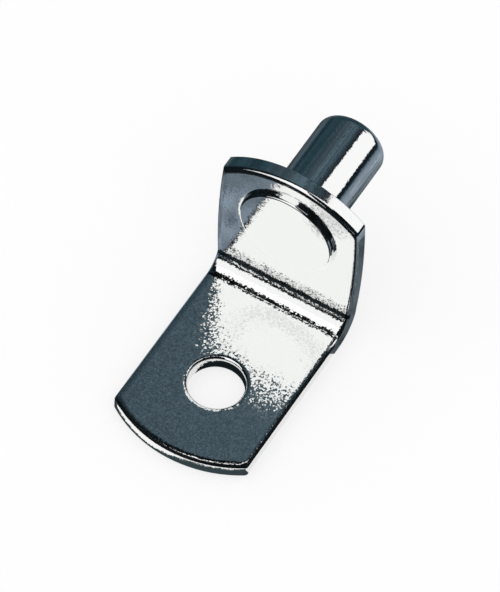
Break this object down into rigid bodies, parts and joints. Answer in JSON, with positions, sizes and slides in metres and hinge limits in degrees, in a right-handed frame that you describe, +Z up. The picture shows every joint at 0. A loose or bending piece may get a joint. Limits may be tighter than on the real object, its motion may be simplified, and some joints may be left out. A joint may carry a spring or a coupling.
{
  "type": "shelf support pin",
  "caption": "Bright plated steel angle with a headed round pin pressed through its upright: the pin plugs into a drilled cabinet side and the leaf carries the shelf.",
  "frame": {"origin": "on the pin's axis, in the plane of the upright's back face, which meets the cabinet side", "axes": "+Y along the pin into the cabinet side, +Z up out of the leaf's shelf face, X across the strip"},
  "size_m": [0.013, 0.0293, 0.0169],
  "materials": {
    "bracket_plating": "bright zinc plate with a cold clear passivate, over punched cold-rolled steel, faintly grained",
    "pin_plating": "bright zinc plate with a cold clear passivate, over cold-headed steel, smooth"
  },
  "bodies": {
    "root": {"angle_bracket": "bracket_plating", "pin": "pin_plating"}
  },
  "joints": []
}
